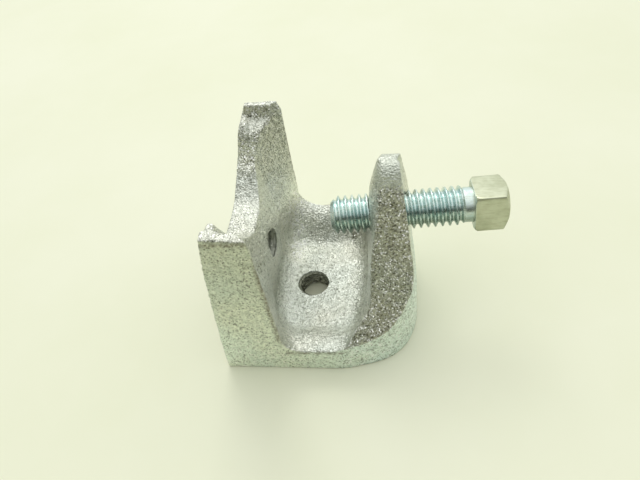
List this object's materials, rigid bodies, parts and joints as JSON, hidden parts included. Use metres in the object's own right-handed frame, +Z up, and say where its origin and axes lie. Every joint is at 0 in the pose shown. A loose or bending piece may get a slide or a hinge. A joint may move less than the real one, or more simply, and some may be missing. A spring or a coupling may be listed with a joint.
{
  "type": "beam clamp",
  "caption": "C-shaped cast beam clamp: forked wide leg, narrow tapered arm and a square-head set screw that closes the jaw; tapped holes in floor and leg.",
  "frame": {"origin": "bottom centre of the bounding box, with the screw in the pose shown", "axes": "+X towards the screw's square head, +Z up away from the base, Y across the clamp; the casting's outline is centred on Y=0, and the screw leans 3.3 degrees towards +Y and 1.6 degrees upwards about a point on the middle plane"},
  "size_m": [0.0596, 0.04, 0.0428],
  "materials": {
    "cast_zinc": "electroplated zinc over a coarse sand-cast skin",
    "bright_zinc": "bright bluish zinc plate"
  },
  "bodies": {
    "clamp": {"clamp_body": "cast_zinc"},
    "screw_carriage": {"set_screw_point": "bright_zinc"},
    "screw": {"set_screw": "bright_zinc"}
  },
  "joints": [
    {"name": "screw_travel", "type": "slide", "parent": "clamp", "child": "screw_carriage", "axis": [-0.9979, -0.0581, -0.0287], "range_m": [-0.00776, 0.01057]},
    {"name": "screw_turn", "type": "hinge", "parent": "screw_carriage", "child": "screw", "pos_m": [0.00075, 0, 0.0282], "axis": [-0.9979, -0.0581, -0.0287], "range_deg": [-1980, 2700]}
  ],
  "couplings": [
    {"joint": "screw_turn", "follows": "screw_travel", "rad_per_m": 4452.7}
  ]
}
